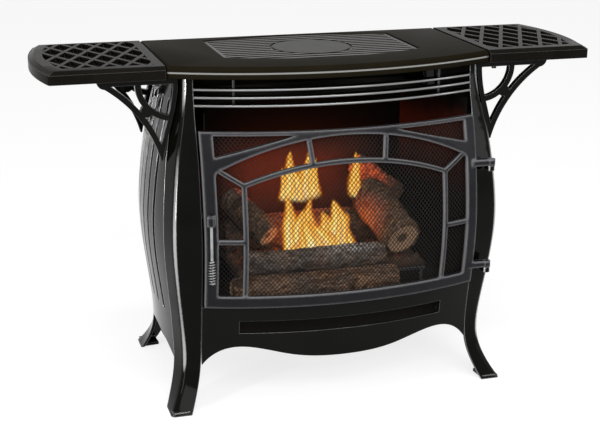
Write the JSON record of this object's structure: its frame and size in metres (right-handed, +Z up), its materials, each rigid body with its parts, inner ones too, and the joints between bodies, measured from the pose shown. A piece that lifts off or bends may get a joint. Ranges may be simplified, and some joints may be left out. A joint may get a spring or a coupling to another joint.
{
  "type": "gas heating stove",
  "caption": "Free-standing gas heating stove: bowed front, arched screen door over a ceramic log fire, splayed curved legs, slatted top grille and lattice side shelves on scroll brackets.",
  "frame": {"origin": "centre of the object's box at floor level, under the feet", "axes": "+X to the right seen from the front, +Y to the back, +Z up; the door faces -Y"},
  "size_m": [1.064, 0.4354, 0.64],
  "materials": {
    "black_enamel": "gloss enamel",
    "top_enamel": "satin enamel",
    "grille_iron": "satin",
    "shelf_iron": "satin enamel",
    "door_iron": "satin",
    "screen_black": "matt black",
    "black_sheet": "matt heat-proof paint",
    "steel": "bright",
    "brass": "plain",
    "cast_aluminium": "cast",
    "black_plastic": "matt",
    "lead_rubber": "matt",
    "log_ceramic": "painted as charred bark",
    "ember_ceramic": "rough",
    "white_ceramic": "plain"
  },
  "bodies": {
    "stove": {"top_plate": "top_enamel", "top_grille": "grille_iron", "right_shelf": "shelf_iron", "left_shelf": "shelf_iron", "bracket_front_right": "black_enamel", "bracket_front_left": "black_enamel", "bracket_rear_right": "black_enamel", "bracket_rear_left": "black_enamel", "shelf_screws": "steel", "leg_front_right": "black_enamel", "leg_front_left": "black_enamel", "leg_rear_right": "black_enamel", "leg_rear_left": "black_enamel", "side_panel_right": "black_enamel", "side_panel_left": "black_enamel", "back_panel": "black_sheet", "louvre_upper": "black_enamel", "louvre_middle": "black_enamel", "louvre_lower": "black_enamel", "louvre_posts": "steel", "apron": "black_enamel", "base_pan": "black_sheet", "firebox_floor": "black_sheet", "firebox_back": "black_sheet", "firebox_right": "black_sheet", "firebox_left": "black_sheet", "firebox_hood": "black_sheet", "firebox_stand_right": "black_sheet", "firebox_stand_left": "black_sheet", "burner": "steel", "burner_saddles": "black_sheet", "log_grate": "door_iron", "ember_bed": "ember_ceramic", "log_low": "log_ceramic", "log_front": "log_ceramic", "log_rear": "log_ceramic", "log_left": "log_ceramic", "log_right": "log_ceramic", "log_top": "log_ceramic", "pilot_burner": "brass", "thermocouple": "brass", "spark_electrode": "white_ceramic", "ignition_lead": "lead_rubber", "gas_valve": "brass", "gas_regulator": "cast_aluminium", "inlet_pipe": "cast_aluminium", "burner_tube": "cast_aluminium", "pilot_tube": "cast_aluminium", "igniter_body": "black_plastic"},
    "door": {"door_frame": "door_iron", "hinge_pins": "steel", "door_mesh": "screen_black", "mesh_clips": "black_sheet"},
    "handle": {"handle_hub": "door_iron", "handle_rod": "steel", "handle_coil": "steel", "latch_cam": "steel"},
    "stem": {"valve_stem": "steel"},
    "knob": {"control_knob": "black_plastic"},
    "igniter": {"igniter_button": "black_plastic"}
  },
  "joints": [
    {"name": "door_swing", "type": "hinge", "parent": "stove", "child": "door", "pos_m": [0.289, -0.17078, 0.437], "axis": [0, 0, 1], "range_deg": [0, 110]},
    {"name": "handle_turn", "type": "hinge", "parent": "door", "child": "handle", "pos_m": [-0.25059, -0.19154, 0.379], "axis": [0.3234, 0.9463, 0], "range_deg": [0, 90]},
    {"name": "valve_push", "type": "slide", "parent": "stove", "child": "stem", "axis": [0, 1, 0], "range_m": [0, 0.004], "stiffness_N_per_m": 600, "springref_m": -0.003},
    {"name": "knob_turn", "type": "hinge", "parent": "stem", "child": "knob", "pos_m": [0.228, -0.11328, 0.144], "axis": [0, -1, 0], "range_deg": [0, 270]},
    {"name": "igniter_press", "type": "slide", "parent": "stove", "child": "igniter", "axis": [0, 1, 0], "range_m": [0, 0.005], "stiffness_N_per_m": 500, "springref_m": -0.002}
  ]
}
